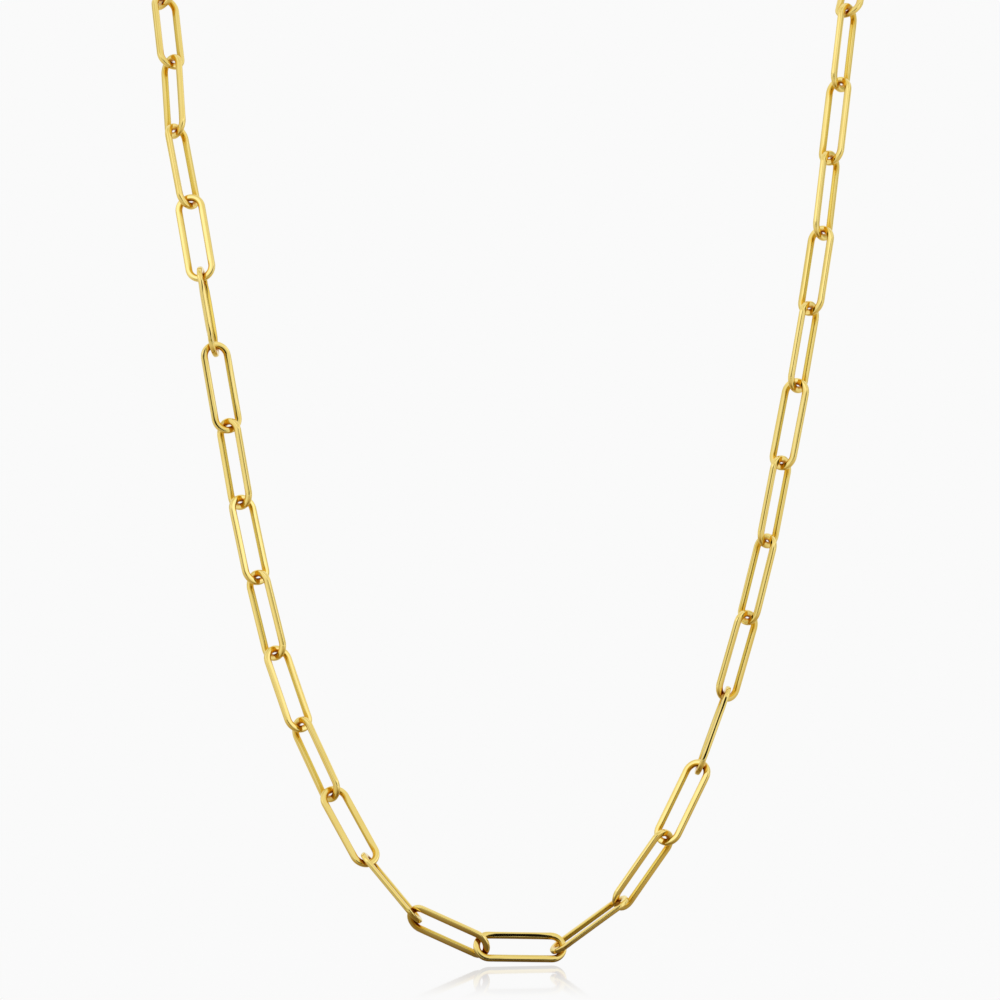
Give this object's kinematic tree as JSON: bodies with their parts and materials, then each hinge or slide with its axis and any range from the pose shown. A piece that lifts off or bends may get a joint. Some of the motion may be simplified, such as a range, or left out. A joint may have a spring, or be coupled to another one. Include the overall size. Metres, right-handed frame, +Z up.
{
  "type": "paperclip chain necklace",
  "caption": "Polished gold paperclip-chain necklace: long flattened-wire links, each through the next, in a closed loop that hangs as worn, with a plain clasp at the nape.",
  "frame": {"origin": "middle of the clasp, where the necklace hangs from the nape", "axes": "+Z up as worn, -Y to the front of the wearer, +X to the right as seen from the front"},
  "size_m": [0.0961, 0.0791, 0.1622],
  "materials": {
    "polished_gold": "polished"
  },
  "bodies": {
    "root": {"link_01": "polished_gold", "link_02": "polished_gold", "link_03": "polished_gold", "link_04": "polished_gold", "link_05": "polished_gold", "link_06": "polished_gold", "link_07": "polished_gold", "link_08": "polished_gold", "link_09": "polished_gold", "link_10": "polished_gold", "link_11": "polished_gold", "link_12": "polished_gold", "link_13": "polished_gold", "link_14": "polished_gold", "link_15": "polished_gold", "link_16": "polished_gold", "link_17": "polished_gold", "link_18": "polished_gold", "link_19": "polished_gold", "link_20": "polished_gold", "link_21": "polished_gold", "link_22": "polished_gold", "link_23": "polished_gold", "link_24": "polished_gold", "link_25": "polished_gold", "link_26": "polished_gold", "link_27": "polished_gold", "link_28": "polished_gold", "link_29": "polished_gold", "link_30": "polished_gold", "link_31": "polished_gold", "link_32": "polished_gold", "link_33": "polished_gold", "link_34": "polished_gold", "link_35": "polished_gold", "link_36": "polished_gold", "link_37": "polished_gold", "link_38": "polished_gold", "link_39": "polished_gold", "link_40": "polished_gold", "link_41": "polished_gold", "link_42": "polished_gold", "clasp": "polished_gold"}
  },
  "joints": []
}
